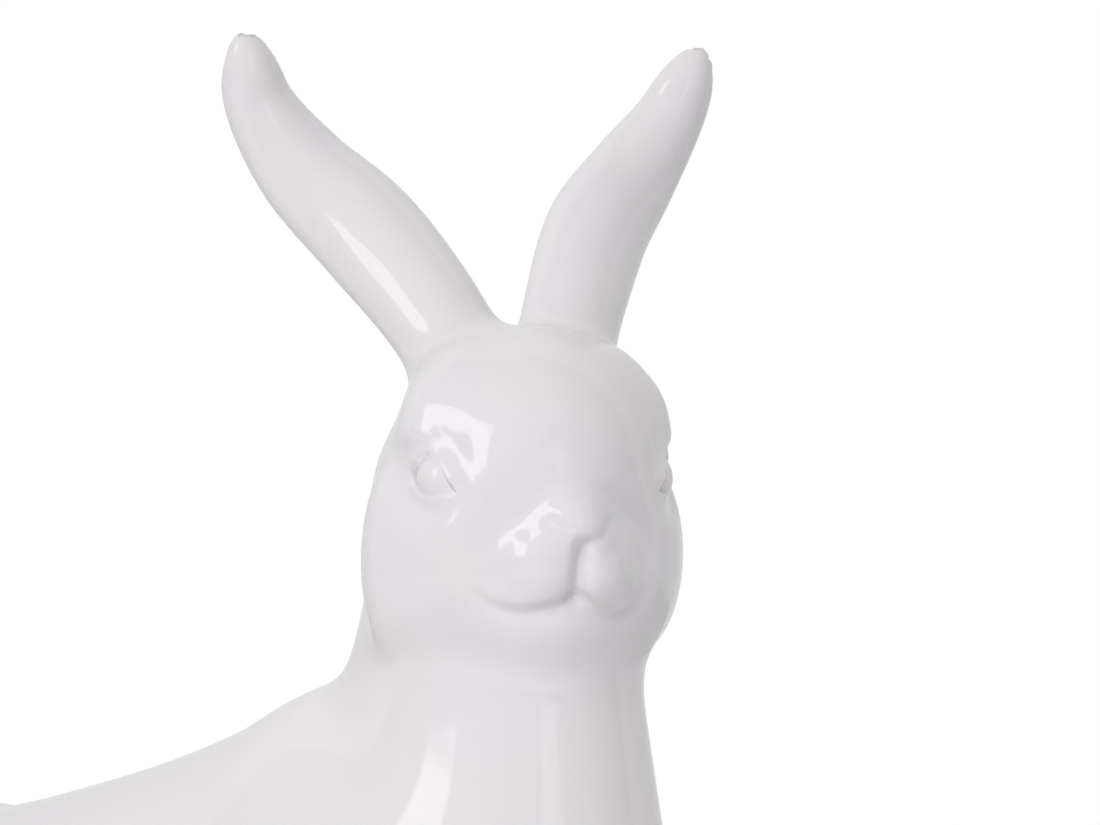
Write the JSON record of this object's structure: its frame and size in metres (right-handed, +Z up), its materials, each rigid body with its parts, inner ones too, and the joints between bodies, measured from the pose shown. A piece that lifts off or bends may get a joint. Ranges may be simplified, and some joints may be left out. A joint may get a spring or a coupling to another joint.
{
  "type": "rabbit figurine",
  "caption": "Rabbit figurine in glossy white glazed ceramic, lying with its head raised and turned and its long ears up.",
  "frame": {"origin": "middle of the footprint, on the underside that the figurine rests on", "axes": "+Z up; the body lies along Y with its chest towards -Y and its tail towards +Y; +X is the rabbit's left; the head is turned 38 degrees to the rabbit's right"},
  "size_m": [0.096, 0.2306, 0.2],
  "materials": {
    "glaze": "glossy white ceramic glaze"
  },
  "bodies": {
    "root": {"rabbit": "glaze"}
  },
  "joints": []
}
